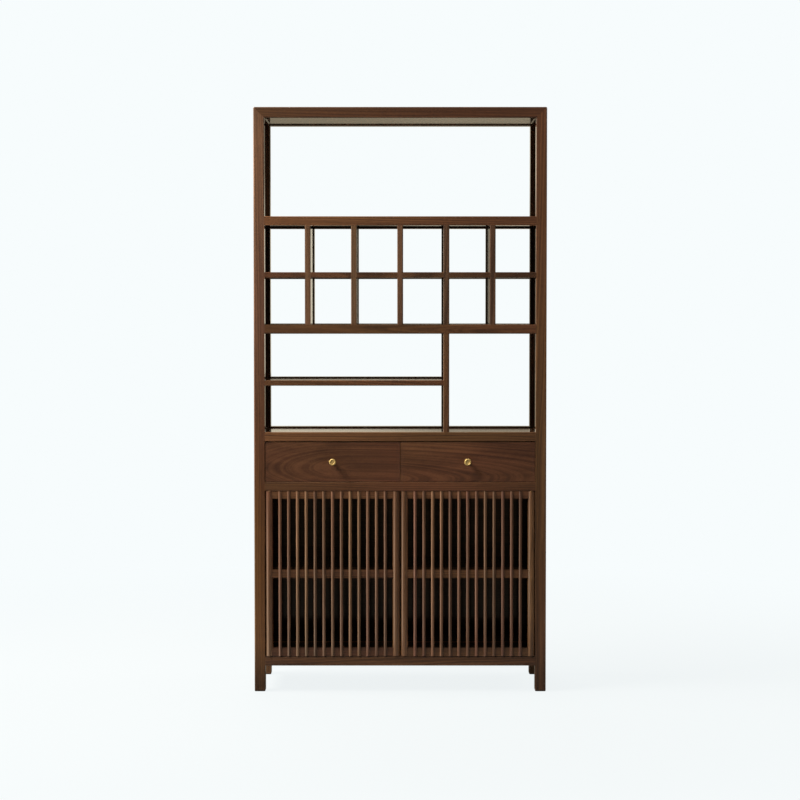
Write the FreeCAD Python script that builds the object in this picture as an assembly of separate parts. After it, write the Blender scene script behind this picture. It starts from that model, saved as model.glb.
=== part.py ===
import FreeCAD, Part
import os

# A book cabinet in walnut: open shelves above, two drawers, and two slatted doors below.
# The whole carcass is frame and panel work. Posts and rails are solid sticks, and every
# panel is thinner than its frame and stands back from it on both faces.
# X runs to the right, Y to the back and Z up. The origin is on the floor, at the middle of
# the space that the cabinet and its knobs take up. Sizes are in millimetres.

# The whole cabinet
width = 1000.0
depth = 350.0
height = 2000.0
outer_edge_radius = 4.0
overrun = 1.0

# Posts and feet
post_width = 37.0
foot_edge_radius = 5.0
leg_height = 89.0

# Heights of the rails and of the openings between them, from the floor up
bottom_rail_height = 32.0
door_opening_height = 570.0
drawer_rail_height = 30.0
drawer_opening_height = 140.0
shelf_height = 31.5
half_shelf_thickness = 19.0

# Cells of the open part, as shares of its clear height. The top bay takes what is left
lower_cell_share = 0.1638
grid_cell_share = 0.1638

# Upright and level boards of the grid, each a thin core with thick front and rear edges
board_thickness = 20.0
board_core_thickness = 12.0
level_core_thickness = 9.0
lipping_depth = 36.0
core_inset = 10.0
grid_columns = 6
lower_divider_number = 4

# Joints in the carcass
tenon_length = 16.0
tenon_thickness = 10.0
tenon_shoulder = 7.0
groove_depth = 6.0
panel_play = 0.5
tongue_thickness = 8.0
panel_setback = 5.0
soffit_setback = 10.0
top_panel_drop = 3.0
top_panel_lift = 4.0
opening_edge_radius = 3.0
closed_opening_edge_radius = 1.5

# Sides and back
side_rail_thickness = 22.0
side_rail_setback = 3.0
side_panel_thickness = 12.0
side_housing_depth = 4.0
back_panel_thickness = 9.0

# Drawers
drawer_gap = 2.0
drawer_top_gap = 3.0
drawer_setback = 0.5
drawer_front_thickness = 20.0
drawer_board_thickness = 12.0
drawer_side_height = 122.0
drawer_back_clearance = 3.5
drawer_side_clearance = 1.0
drawer_run_clearance = 0.3
drawer_bottom_thickness = 6.0
drawer_bottom_lift = 8.0
drawer_bottom_groove = 6.0
partition_thickness = 20.0
partition_clearance = 0.3
runner_height = 20.0
runner_lap = 26.0

# Knobs and their screws
knob_radius = 12.0
knob_reach = 22.0
knob_head_thickness = 8.5
knob_edge_radius = 3.0
knob_neck_radius = 5.0
knob_base_radius = 8.0
knob_base_thickness = 2.0
knob_dish_radius = 7.0
knob_dish_depth = 1.4
screw_radius = 2.0
screw_grip = 12.0
screw_head_radius = 4.0
screw_head_thickness = 2.4
screw_clearance = 0.3

# Doors
door_gap = 1.5
door_meeting_gap = 3.0
door_proud = 3.0
stile_width = 25.0
stile_depth = 24.0
door_rail_height = 29.0
door_top_rail_height = 25.0
door_rail_thickness = 18.0
door_rail_setback = 4.0
door_tenon_length = 8.0
slat_count = 13
slat_width = 11.0
slat_depth = 14.0

# Door pivots and catches
pin_radius = 4.0
pin_length = 10.0
pin_root_length = 14.0
pin_running_clearance = 0.05
collar_radius = 6.0
thrust_clearance = 0.2
bush_radius = 6.0
bush_length = 12.0
catch_width = 20.0
catch_height = 14.0
catch_depth = 9.0
catch_clearance = 0.3
catch_plate_thickness = 1.2
catch_plate_height = 12.0
catch_plate_width = 14.0

# Shelf inside the doors
inner_shelf_thickness = 18.0
inner_shelf_height_share = 0.5
inner_shelf_setback = 14.0
inner_shelf_clearance = 1.0
bearer_height = 22.0
bearer_lap = 20.0

# Planes across the cabinet
left = -width / 2
inner_left = left + post_width
side_rail_outer = left + side_rail_setback
side_rail_inner = side_rail_outer + side_rail_thickness
side_middle = side_rail_outer + side_rail_thickness / 2
side_panel_outer = side_middle - side_panel_thickness / 2
side_panel_inner = side_middle + side_panel_thickness / 2

# Planes from front to back
front = (knob_reach - depth) / 2
back = front + depth
front_post_back = front + post_width
rear_post_front = back - post_width
back_panel_front = back - post_width / 2 - back_panel_thickness / 2

# Levels from the floor up
bottom_low = leg_height
bottom_high = bottom_low + bottom_rail_height
drawer_rail_low = bottom_high + door_opening_height
drawer_rail_high = drawer_rail_low + drawer_rail_height
lower_shelf_low = drawer_rail_high + drawer_opening_height
lower_shelf_high = lower_shelf_low + shelf_height
top_low = height - post_width
boards_between = half_shelf_thickness + board_thickness + 2 * shelf_height
clear_height = top_low - lower_shelf_high - boards_between
lower_cell_height = lower_cell_share * clear_height
grid_cell_height = grid_cell_share * clear_height
half_shelf_low = lower_shelf_high + lower_cell_height
half_shelf_high = half_shelf_low + half_shelf_thickness
middle_shelf_low = half_shelf_high + lower_cell_height
middle_shelf_high = middle_shelf_low + shelf_height
grid_shelf_low = middle_shelf_high + grid_cell_height
grid_shelf_high = grid_shelf_low + board_thickness
upper_shelf_low = grid_shelf_high + grid_cell_height
upper_shelf_high = upper_shelf_low + shelf_height

# The grid of small openings, with its upright boards at even steps between the posts
divider_numbers = range(1, grid_columns)
cell_width = (-2 * inner_left - len(divider_numbers) * board_thickness) / grid_columns
divider_step = cell_width + board_thickness

# Drawers, and where their boxes run
drawer_run_level = drawer_rail_high + drawer_run_clearance
drawer_front_back = front + drawer_setback + drawer_front_thickness
partition_front = drawer_front_back + partition_clearance
drawer_box_outer = inner_left + drawer_side_clearance
drawer_box_inner = -partition_thickness / 2 - drawer_side_clearance
drawer_box_back = rear_post_front - drawer_back_clearance
drawer_middle = (inner_left + drawer_gap - drawer_gap / 2) / 2
drawer_centre_level = (drawer_rail_high + lower_shelf_low) / 2

# Doors, and the axis that each one turns on
door_outer = inner_left + door_gap
door_inner = -door_meeting_gap / 2
door_low = bottom_high + door_gap
door_high = drawer_rail_low - door_gap
door_front = front - door_proud
door_back = door_front + stile_depth
pivot_x = door_outer + stile_width / 2
pivot_y = door_front + stile_width / 2


def divider_centre(number):
    """Middle of one upright board, counted from the left."""
    return inner_left + number * divider_step - board_thickness / 2


def box(x0, x1, y0, y1, z0, z1):
    """A plain board between two opposite corners."""
    return Part.makeBox(x1 - x0, y1 - y0, z1 - z0, FreeCAD.Vector(x0, y0, z0))


def prism(points, direction):
    """A flat outline through the points, drawn out along a direction."""
    corners = [FreeCAD.Vector(*point) for point in points]
    outline = Part.makePolygon(corners + corners[:1])
    return Part.Face(outline).extrude(FreeCAD.Vector(*direction))


def upright_cylinder(radius, x, y, z0, z1):
    """A round piece that stands upright."""
    return Part.makeCylinder(radius, z1 - z0, FreeCAD.Vector(x, y, z0))


def level_cylinder(radius, x, z, y0, y1):
    """A round piece that lies from front to back."""
    axis = FreeCAD.Vector(0, 1, 0)
    return Part.makeCylinder(radius, y1 - y0, FreeCAD.Vector(x, y0, z), axis)


def joined(*shapes):
    """Several shapes as one clean solid."""
    return shapes[0].fuse(shapes[1:]).removeSplitter()


def housed(receiver, guests):
    """A piece with the mortises and grooves that its neighbours sit in."""
    for guest in guests:
        if receiver.BoundBox.intersect(guest.BoundBox):
            receiver = receiver.cut(guest)
    return receiver


def mirrored(shape):
    """The same piece on the other side of the cabinet."""
    return shape.mirror(FreeCAD.Vector(0, 0, 0), FreeCAD.Vector(1, 0, 0))


def group(shapes):
    """Separate pieces of one kind, kept together."""
    return Part.makeCompound([solid for shape in shapes for solid in shape.Solids])


def rim(x0, x1, z0, z1, radius):
    """The waste that rounds the front edge all round one opening."""
    z = (z0 + z1) / 2
    corners = [(x0, z), (x0, z1), (x1, z1), (x1, z0), (x0, z0), (x0, z)]
    path = Part.makePolygon([FreeCAD.Vector(cx, front, cz) for cx, cz in corners])
    lean = radius - radius / 2 ** 0.5
    on_face = FreeCAD.Vector(x0 - radius, front, z)
    on_arc = FreeCAD.Vector(x0 - lean, front + lean, z)
    on_side = FreeCAD.Vector(x0, front + radius, z)
    outside = [
        on_side,
        FreeCAD.Vector(x0 + overrun, front + radius, z),
        FreeCAD.Vector(x0 + overrun, front - overrun, z),
        FreeCAD.Vector(x0 - radius, front - overrun, z),
        on_face,
    ]
    edges = [Part.Arc(on_face, on_arc, on_side).toShape()]
    edges += [Part.makeLine(*ends) for ends in zip(outside, outside[1:])]
    return path.makePipeShell([Part.Wire(edges)], True, False, 1)


def open_rims():
    """Rounded edges of the open bays and cells, and of the space under the cabinet."""
    radius = opening_edge_radius
    right = -inner_left
    split = divider_centre(lower_divider_number)
    split_left = split - board_thickness / 2
    split_right = split + board_thickness / 2
    under = -2 * (radius + overrun)
    rims = [
        rim(inner_left, right, under, bottom_low, radius),
        rim(inner_left, split_left, lower_shelf_high, half_shelf_low, radius),
        rim(inner_left, split_left, half_shelf_high, middle_shelf_low, radius),
        rim(split_right, right, lower_shelf_high, middle_shelf_low, radius),
        rim(inner_left, right, upper_shelf_high, top_low, radius),
    ]
    for column in range(grid_columns):
        x0 = inner_left + column * divider_step
        x1 = x0 + cell_width
        rims.append(rim(x0, x1, middle_shelf_high, grid_shelf_low, radius))
        rims.append(rim(x0, x1, grid_shelf_high, upper_shelf_low, radius))
    return rims


def closed_rims():
    """Finer rounded edges round the drawers and round the doors."""
    radius = closed_opening_edge_radius
    return [
        rim(inner_left, -inner_left, bottom_high, drawer_rail_low, radius),
        rim(inner_left, -inner_left, drawer_rail_high, lower_shelf_low, radius),
    ]


def outer_form():
    """The outside of the whole cabinet, with its long edges rounded."""
    form = box(left, -left, front, back, 0, height)
    rounded = [edge for edge in form.Edges if edge.BoundBox.ZMax > 0]
    return form.makeFillet(outer_edge_radius, rounded)


def corner_post(y_outer, y_inner):
    """One left post. Its top is cut to a point for the three-way mitre of the top frame."""
    post = box(left, inner_left, min(y_outer, y_inner), max(y_outer, y_inner), 0, height)
    feet = [edge for edge in post.Edges if edge.BoundBox.ZMax <= foot_edge_radius]
    post = post.makeFillet(foot_edge_radius, feet)
    wide_way = [
        (left, front, 0),
        (inner_left, front, 0),
        (inner_left, front, top_low),
        (left, front, height),
    ]
    deep_way = [
        (left, y_outer, 0),
        (left, y_inner, 0),
        (left, y_inner, top_low),
        (left, y_outer, height),
    ]
    mitred = prism(wide_way, (0, depth, 0)).common(prism(deep_way, (post_width, 0, 0)))
    return post.common(mitred)


def top_long_rail(y_outer, y_inner):
    """Room of the front or rear top rail, open to the outside and mitred at both ends."""
    outward = overrun if y_outer > y_inner else -overrun
    far_left, far_top, far_front = left - overrun, height + overrun, front - overrun
    low = top_low - overrun
    seen_from_above = [
        (far_left, y_outer + outward, low),
        (-far_left, y_outer + outward, low),
        (-inner_left, y_inner, low),
        (inner_left, y_inner, low),
    ]
    seen_from_front = [
        (inner_left, far_front, top_low),
        (-inner_left, far_front, top_low),
        (-far_left, far_front, far_top),
        (far_left, far_front, far_top),
    ]
    above = prism(seen_from_above, (0, 0, far_top - low))
    return above.common(prism(seen_from_front, (0, back + overrun - far_front, 0)))


def top_side_rail():
    """Room of the left top rail, open to the outside and mitred at both ends."""
    far_left, far_top = left - overrun, height + overrun
    far_front, far_back = front - overrun, back + overrun
    low, far_inside = top_low - overrun, inner_left + overrun
    seen_from_above = [
        (far_left, far_front, low),
        (inner_left, front_post_back, low),
        (inner_left, rear_post_front, low),
        (far_left, far_back, low),
    ]
    seen_from_side = [
        (far_left, front_post_back, top_low),
        (far_left, rear_post_front, top_low),
        (far_left, far_back, far_top),
        (far_left, far_front, far_top),
    ]
    above = prism(seen_from_above, (0, 0, far_top - low))
    return above.common(prism(seen_from_side, (far_inside - far_left, 0, 0)))


def long_rail(y0, z0, z1):
    """A rail across the cabinet, with a tenon at each end for the posts."""
    rail = box(inner_left, -inner_left, y0, y0 + post_width, z0, z1)
    reach = inner_left - tenon_length
    tenon_front = y0 + (post_width - tenon_thickness) / 2
    tenon_back = tenon_front + tenon_thickness
    tenons = box(reach, -reach, tenon_front, tenon_back, z0 + tenon_shoulder, z1 - tenon_shoulder)
    return joined(rail, tenons)


def side_rail(z0, z1):
    """A left rail from the front post to the rear post, with its two tenons."""
    rail = box(side_rail_outer, side_rail_inner, front_post_back, rear_post_front, z0, z1)
    tenons = box(
        side_middle - tenon_thickness / 2,
        side_middle + tenon_thickness / 2,
        front_post_back - tenon_length,
        rear_post_front + tenon_length,
        z0 + tenon_shoulder,
        z1 - tenon_shoulder,
    )
    return joined(rail, tenons)


def level_panel(x_edge, z0, z1, tongue_middle, reach):
    """A panel in its frame of four rails, with a tongue that reaches into their grooves."""
    tongue_low = tongue_middle - tongue_thickness / 2
    tongue_high = tongue_middle + tongue_thickness / 2
    body = box(x_edge, -x_edge, front_post_back, rear_post_front, z0, z1)
    side_tongues = box(
        x_edge - reach, -x_edge + reach, front_post_back, rear_post_front, tongue_low, tongue_high
    )
    long_tongues = box(
        inner_left,
        -inner_left,
        front_post_back - reach,
        rear_post_front + reach,
        tongue_low,
        tongue_high,
    )
    return joined(body, side_tongues, long_tongues)


def shelf_panel(z0, z1, reach):
    """The panel of one shelf, set back from the frame's upper and lower faces."""
    low, high = z0 + soffit_setback, z1 - panel_setback
    return level_panel(side_rail_inner, low, high, (z0 + z1) / 2, reach)


def roof_panel(reach):
    """The panel of the top, nearly level with the top frame."""
    z1 = height - top_panel_drop
    return level_panel(inner_left, top_low + top_panel_lift, z1, top_low + post_width / 2, reach)


def side_panel(z0, z1, reach):
    """One upright panel of the left side, in the grooves of its rails and posts."""
    return box(
        side_panel_outer,
        side_panel_inner,
        front_post_back - reach,
        rear_post_front + reach,
        z0 - reach,
        z1 + reach,
    )


def rear_panel(reach):
    """The back of the closed part, behind the drawers and the doors."""
    return box(
        inner_left - reach,
        -inner_left + reach,
        back_panel_front,
        back_panel_front + back_panel_thickness,
        bottom_high - reach,
        lower_shelf_low + reach,
    )


def upright_board(x, z0, z1):
    """A divider: a thin core between two full lippings. The core is let into the rails."""
    x0, x1 = x - board_thickness / 2, x + board_thickness / 2
    core_left, core_right = x - board_core_thickness / 2, x + board_core_thickness / 2
    front_lipping = box(x0, x1, front, front + lipping_depth, z0, z1)
    rear_lipping = box(x0, x1, back - lipping_depth, back, z0, z1)
    core = box(
        core_left,
        core_right,
        front + core_inset,
        back - core_inset,
        z0 - panel_setback,
        z1 + soffit_setback,
    )
    return joined(front_lipping, rear_lipping, core)


def level_board(x1, core_x1, z0, z1):
    """A thin shelf that starts at the left side, with full lippings at front and back."""
    core_low = (z0 + z1 - level_core_thickness) / 2
    core_high = core_low + level_core_thickness
    housed_end = side_panel_inner - side_housing_depth
    front_lipping = box(inner_left, x1, front, front + lipping_depth, z0, z1)
    rear_lipping = box(inner_left, x1, back - lipping_depth, back, z0, z1)
    core = box(inner_left, core_x1, front + core_inset, back - core_inset, core_low, core_high)
    end = box(housed_end, inner_left, front_post_back, rear_post_front, core_low, core_high)
    return joined(front_lipping, rear_lipping, core, end)


def grid_board():
    """The level board through the grid, held at both sides."""
    left_half = level_board(0, 0, grid_shelf_low, grid_shelf_high)
    return joined(left_half, mirrored(left_half))


def crossed(uprights, level):
    """Half laps: the uprights run on at the front and the level board at the back."""
    middle = (front + back) / 2
    front_half = box(left, -left, front - overrun, middle, 0, height)
    rear_half = box(left, -left, middle, back + overrun, 0, height)
    front_waste = [upright.common(front_half) for upright in uprights]
    notched_level = housed(level, front_waste)
    rear_waste = level.common(rear_half)
    return [upright.cut(rear_waste) for upright in uprights], notched_level


def drawer_front_board():
    """Front of the left drawer, inset in its opening, with the screw hole for the knob."""
    board = box(
        inner_left + drawer_gap,
        -drawer_gap / 2,
        front + drawer_setback,
        drawer_front_back,
        drawer_rail_high + drawer_gap,
        lower_shelf_low - drawer_top_gap,
    )
    hole_radius = screw_radius + screw_clearance
    hole_front, hole_back = front - overrun, drawer_front_back + overrun
    hole = level_cylinder(hole_radius, drawer_middle, drawer_centre_level, hole_front, hole_back)
    return board.cut(hole)


def drawer_bottom_board():
    """Bottom of the left drawer, in grooves on all four sides."""
    groove = drawer_bottom_groove
    z0 = drawer_run_level + drawer_bottom_lift
    return box(
        drawer_box_outer + drawer_board_thickness - groove,
        drawer_box_inner - drawer_board_thickness + groove,
        drawer_front_back - groove,
        drawer_box_back - drawer_board_thickness + groove,
        z0,
        z0 + drawer_bottom_thickness,
    )


def drawer_box(bottom):
    """Two sides and the back of the left drawer."""
    z0, z1 = drawer_run_level, drawer_run_level + drawer_side_height
    inner_x0 = drawer_box_outer + drawer_board_thickness
    inner_x1 = drawer_box_inner - drawer_board_thickness
    back_y0 = drawer_box_back - drawer_board_thickness
    outer_side = box(drawer_box_outer, inner_x0, drawer_front_back, drawer_box_back, z0, z1)
    inner_side = box(inner_x1, drawer_box_inner, drawer_front_back, drawer_box_back, z0, z1)
    back_board = box(inner_x0, inner_x1, back_y0, drawer_box_back, z0, z1)
    return group([board.cut(bottom) for board in (outer_side, inner_side, back_board)])


def knob_and_screw():
    """A turned brass knob with a dished face, and the screw that holds it from inside."""
    x, z = drawer_middle, drawer_centre_level
    seat = front + drawer_setback
    tip = front - knob_reach
    head = level_cylinder(knob_radius, x, z, tip, tip + knob_head_thickness)
    head = head.makeFillet(knob_edge_radius, [e for e in head.Edges if len(e.Vertexes) == 1])
    neck = level_cylinder(knob_neck_radius, x, z, tip + knob_head_thickness / 2, seat)
    base = level_cylinder(knob_base_radius, x, z, seat - knob_base_thickness, seat)
    dish = level_cylinder(knob_dish_radius, x, z, tip - overrun, tip + knob_dish_depth)
    shank = level_cylinder(screw_radius, x, z, seat - screw_grip, drawer_front_back)
    head_back = drawer_front_back + screw_head_thickness
    screw_head = level_cylinder(screw_head_radius, x, z, drawer_front_back, head_back)
    screw = joined(shank, screw_head)
    knob = joined(head, neck, base).cut(dish).cut(screw)
    return group([knob, screw])


def round_fronted(x0, x1, y0, y1):
    """An upright stick of the door with a half-round front."""
    radius = (x1 - x0) / 2
    shoulder = y0 + radius
    centre = (x0 + x1) / 2
    arc = Part.Arc(
        FreeCAD.Vector(x0, shoulder, door_low),
        FreeCAD.Vector(centre, y0, door_low),
        FreeCAD.Vector(x1, shoulder, door_low),
    )
    corners = [(x1, shoulder), (x1, y1), (x0, y1), (x0, shoulder)]
    points = [FreeCAD.Vector(x, y, door_low) for x, y in corners]
    edges = [arc.toShape()] + [Part.makeLine(*ends) for ends in zip(points, points[1:])]
    return Part.Face(Part.Wire(edges)).extrude(FreeCAD.Vector(0, 0, door_high - door_low))


def door_slats():
    """The row of upright slats of the left door, at even steps between its stiles."""
    first = door_outer + stile_width
    last = door_inner - stile_width
    gap = (last - first - slat_count * slat_width) / (slat_count + 1)
    slats = []
    for number in range(slat_count):
        x0 = first + gap + number * (slat_width + gap)
        slats.append(round_fronted(x0, x0 + slat_width, door_front, door_front + slat_depth))
    return slats


def door_rails():
    """Three rails behind the slats of the left door, with their ends in the stiles."""
    x0 = door_outer + stile_width - door_tenon_length
    x1 = door_inner - stile_width + door_tenon_length
    y0 = door_front + door_rail_setback
    middle_low = (door_low + door_high - door_rail_height) / 2
    spans = [
        (door_low, door_low + door_rail_height),
        (middle_low, middle_low + door_rail_height),
        (door_high - door_top_rail_height, door_high),
    ]
    return [box(x0, x1, y0, y0 + door_rail_thickness, z0, z1) for z0, z1 in spans]


def door_pins():
    """Top and bottom pivot pins of the left door. A collar on the lower one takes its weight."""
    top_pin = upright_cylinder(
        pin_radius, pivot_x, pivot_y, door_high - pin_root_length, drawer_rail_low + pin_length
    )
    low_end = bottom_high - pin_length
    low_pin = upright_cylinder(pin_radius, pivot_x, pivot_y, low_end, door_low + pin_root_length)
    collar_low = bottom_high + thrust_clearance
    collar = upright_cylinder(collar_radius, pivot_x, pivot_y, collar_low, door_low)
    return [top_pin, joined(low_pin, collar)]


def pivot_bushes():
    """Brass bushes for the left door's pins, let into the rails above and below it."""
    bore_radius = pin_radius + pin_running_clearance
    ends = [
        (drawer_rail_low, drawer_rail_low + bush_length),
        (bottom_high - bush_length, bottom_high),
    ]
    bushes = []
    for z0, z1 in ends:
        body = upright_cylinder(bush_radius, pivot_x, pivot_y, z0, z1)
        bushes.append(body.cut(upright_cylinder(bore_radius, pivot_x, pivot_y, z0, z1)))
    return bushes


def magnetic_catch():
    """The magnet block under the drawer rail, behind the left door's meeting stile."""
    x1 = door_inner - (stile_width - catch_width) / 2
    y0 = door_back + catch_clearance
    z0 = drawer_rail_low - catch_height
    return box(x1 - catch_width, x1, y0, y0 + catch_depth, z0, drawer_rail_low)


def catch_plate():
    """The steel plate let into the back of the left door's meeting stile."""
    centre = door_inner - stile_width / 2
    z1 = door_high
    return box(
        centre - catch_plate_width / 2,
        centre + catch_plate_width / 2,
        door_back - catch_plate_thickness,
        door_back,
        z1 - catch_plate_height,
        z1,
    )


def drawer_runners():
    """Left, middle and right runners that the drawers slide on."""
    z0 = drawer_rail_high - runner_height
    runner_inner = drawer_box_outer + runner_lap
    side_runner = box(
        side_rail_inner, runner_inner, front_post_back, rear_post_front, z0, drawer_rail_high
    )
    reach = partition_thickness / 2 + drawer_side_clearance + runner_lap
    middle_runner = box(-reach, reach, front_post_back, rear_post_front, z0, drawer_rail_high)
    return [side_runner, middle_runner, mirrored(side_runner)]


def drawer_partition():
    """The upright board between the drawer boxes. Its front edge stops both fronts."""
    half = partition_thickness / 2
    return box(-half, half, partition_front, back_panel_front, drawer_rail_high, lower_shelf_low)


def inner_shelf():
    """A loose shelf in the cupboard, behind the middle rails of the doors."""
    x0 = inner_left + inner_shelf_clearance
    y0 = door_back + inner_shelf_setback
    y1 = back_panel_front - inner_shelf_clearance
    z0 = bottom_high + inner_shelf_height_share * door_opening_height
    return box(x0, -x0, y0, y1, z0, z0 + inner_shelf_thickness)


def shelf_bearer():
    """The left strip that carries the loose shelf, fixed to the side panel."""
    z1 = bottom_high + inner_shelf_height_share * door_opening_height
    x1 = inner_left + bearer_lap
    return box(side_panel_inner, x1, front_post_back, rear_post_front, z1 - bearer_height, z1)


def build_carcass():
    """All the pieces of the standing frame, by name."""
    shelves = {
        "bottom": (bottom_low, bottom_high),
        "lower_shelf": (lower_shelf_low, lower_shelf_high),
        "middle_shelf": (middle_shelf_low, middle_shelf_high),
        "upper_shelf": (upper_shelf_low, upper_shelf_high),
    }
    tongue = groove_depth - panel_play
    panels = [shelf_panel(z0, z1, groove_depth) for z0, z1 in shelves.values()]
    panels += [roof_panel(groove_depth), rear_panel(groove_depth)]

    side_levels = [
        (bottom_low, bottom_high),
        (drawer_rail_low, drawer_rail_high),
        (lower_shelf_low, lower_shelf_high),
        (middle_shelf_low, middle_shelf_high),
        (upper_shelf_low, upper_shelf_high),
    ]
    side_bays = [(low[1], high[0]) for low, high in zip(side_levels, side_levels[1:])]
    side_bays.append((upper_shelf_high, top_low))
    side_grooves = [side_panel(z0, z1, groove_depth) for z0, z1 in side_bays]

    uprights = [
        upright_board(divider_centre(number), middle_shelf_high, upper_shelf_low)
        for number in divider_numbers
    ]
    uprights, level = crossed(uprights, grid_board())
    lower_divider = upright_board(
        divider_centre(lower_divider_number), lower_shelf_high, middle_shelf_low
    )
    divider_left = divider_centre(lower_divider_number) - board_thickness / 2
    half_shelf = level_board(
        divider_left,
        divider_left + (board_thickness - board_core_thickness) / 2,
        half_shelf_low,
        half_shelf_high,
    )

    bushes = pivot_bushes() + [mirrored(bush) for bush in pivot_bushes()]
    bush_holes = [
        upright_cylinder(
            bush_radius, side * pivot_x, pivot_y, bush.BoundBox.ZMin, bush.BoundBox.ZMax
        )
        for side in (1, -1)
        for bush in pivot_bushes()
    ]
    rims = open_rims() + closed_rims()
    guests = panels + uprights + [lower_divider] + bush_holes + rims

    pieces = {}
    for name, (z0, z1) in shelves.items():
        front_rail = long_rail(front, z0, z1)
        rear_rail = long_rail(rear_post_front, z0, z1)
        pieces[name + "_front_rail"] = housed(front_rail, guests)
        pieces[name + "_rear_rail"] = housed(rear_rail, guests)
        pieces[name + "_panel"] = shelf_panel(z0, z1, tongue)
    form = outer_form()
    front_top = top_long_rail(front, front_post_back).common(form)
    rear_top = top_long_rail(back, rear_post_front).common(form)
    pieces["top_front_rail"] = housed(front_top, panels + rims)
    pieces["top_rear_rail"] = housed(rear_top, panels)
    pieces["top_panel"] = roof_panel(tongue)
    drawer_rail = long_rail(front, drawer_rail_low, drawer_rail_high)
    pieces["drawer_front_rail"] = housed(drawer_rail, guests)
    rear_support = long_rail(rear_post_front, drawer_rail_low, drawer_rail_high)
    behind = box(left, -left, back_panel_front, back, 0, height)
    pieces["drawer_rear_rail"] = rear_support.cut(behind)

    side_rails = [side_rail(z0, z1) for z0, z1 in side_levels]
    side_rails.append(top_side_rail().common(form))
    side_rails = [housed(rail, panels + side_grooves) for rail in side_rails]
    side_panels = [side_panel(z0, z1, tongue) for z0, z1 in side_bays]
    side_panels = [housed(panel, [level, half_shelf]) for panel in side_panels]
    pieces["left_side_rails"] = group(side_rails)
    pieces["left_side_panels"] = group(side_panels)
    right_panels = [side_panel(z0, z1, tongue) for z0, z1 in side_bays]
    right_panels = [housed(mirrored(panel), [level]) for panel in right_panels]
    pieces["right_side_rails"] = group([mirrored(rail) for rail in side_rails])
    pieces["right_side_panels"] = group(right_panels)

    crossing = [piece for name, piece in pieces.items() if name.endswith(("front_rail", "rear_rail"))]
    crossing += [rear_panel(groove_depth)] + rims
    beside = side_rails + side_grooves
    left_posts = {
        "front": corner_post(front, front_post_back).common(form),
        "rear": corner_post(back, rear_post_front).common(form),
    }
    for name, post in left_posts.items():
        post = housed(post, beside)
        pieces[name + "_left_post"] = housed(post, crossing)
        pieces[name + "_right_post"] = housed(mirrored(post), crossing)

    pieces["grid_shelf"] = housed(level, rims)
    for number, upright in zip(divider_numbers, uprights):
        pieces["grid_divider_" + str(number)] = housed(upright, rims)
    pieces["half_shelf"] = housed(half_shelf, rims)
    pieces["lower_divider"] = housed(lower_divider, [half_shelf] + rims)
    pieces["back_panel"] = rear_panel(tongue)
    pieces["drawer_runners"] = group(drawer_runners())
    pieces["drawer_partition"] = drawer_partition()
    pieces["inner_shelf"] = inner_shelf()
    pieces["shelf_bearers"] = group([shelf_bearer(), mirrored(shelf_bearer())])
    pieces["pivot_bushes"] = group(bushes)
    pieces["magnetic_catches"] = group([magnetic_catch(), mirrored(magnetic_catch())])
    return pieces


def build_left_drawer():
    """The left drawer, by the names of its pieces."""
    bottom = drawer_bottom_board()
    return {
        "drawer_front": drawer_front_board().cut(bottom),
        "drawer_box": drawer_box(bottom),
        "drawer_bottom": bottom,
        "drawer_knob": knob_and_screw(),
    }


def build_left_door():
    """The left door, by the names of its pieces."""
    slats = door_slats()
    rails = door_rails()
    pins = door_pins()
    plate = catch_plate()
    y0, y1 = door_front, door_back
    hinge_stile = round_fronted(door_outer, door_outer + stile_width, y0, y1)
    meeting_stile = round_fronted(door_inner - stile_width, door_inner, y0, y1)
    return {
        "door_hinge_stile": housed(hinge_stile, rails + pins),
        "door_meeting_stile": housed(meeting_stile, rails + [plate]),
        "door_rails": group([housed(rail, slats + pins + [plate]) for rail in rails]),
        "door_slats": group(slats),
        "door_pivots": group(pins),
        "door_catch_plate": plate,
    }


def main():
    os.makedirs("parts", exist_ok=True)
    pieces = build_carcass()
    for name, piece in {**build_left_drawer(), **build_left_door()}.items():
        pieces["left_" + name] = piece
        pieces["right_" + name] = mirrored(piece)
    for name, piece in pieces.items():
        piece.exportStep("parts/" + name + ".step")
        solid_count = len(piece.Solids)
        print(name, "solids", solid_count, "volume", round(piece.Volume), "valid", piece.isValid())
    print(len(pieces), "named pieces")


main()
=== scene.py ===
# %% [markdown]
# # A walnut book cabinet with drawers and slatted doors
# The real cabinet is a tall open frame. It has a wide bay at the top, a grid of twelve small
# openings, three larger ones, two drawers with turned brass knobs, and two doors of upright
# slats. Each shelf and each divider is a thin panel held in a thicker frame.
# The shapes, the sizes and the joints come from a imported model, which is loaded first and is
# never moved. This lesson adds what that model lacks: a camera, a small studio, finishes for
# wood, metal and plastic, and knobs turned in full detail. Every finish is made of shader
# nodes, so nothing is read from a picture.

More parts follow.
